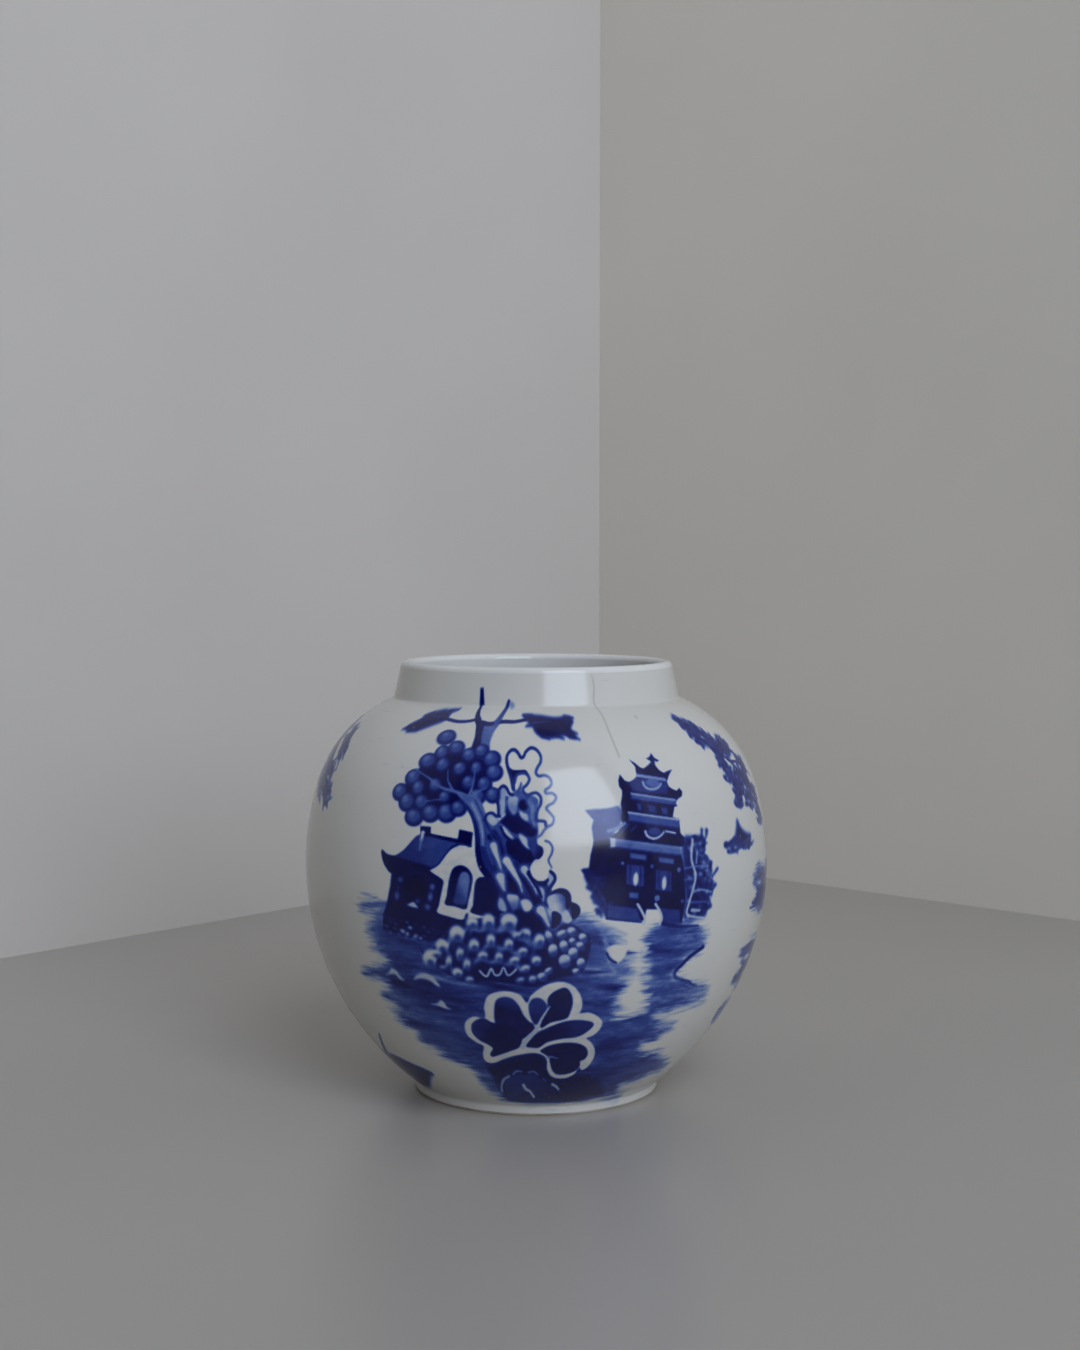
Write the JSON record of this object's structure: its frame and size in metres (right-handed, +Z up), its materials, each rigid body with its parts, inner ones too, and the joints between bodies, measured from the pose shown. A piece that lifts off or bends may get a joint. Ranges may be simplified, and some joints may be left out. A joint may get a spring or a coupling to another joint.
{
  "type": "ginger jar",
  "caption": "Round-bellied blue and white ginger jar with a high shoulder, a short tapering collar, an open mouth and a low unglazed foot ring.",
  "frame": {"origin": "centre of the foot ring's standing face", "axes": "+Z up along the jar's turning axis, towards the mouth; the middle of the front scene faces -Y"},
  "size_m": [0.1496, 0.1496, 0.139],
  "materials": {
    "biscuit": "matt, fine-grained, bare fired clay",
    "decorated_glaze": "glossy clear glaze over a cobalt blue printed landscape",
    "base_glaze": "glossy, plain"
  },
  "bodies": {
    "root": {"jar_body": "biscuit", "glaze_coat": "decorated_glaze", "base_glaze": "base_glaze"}
  },
  "joints": []
}
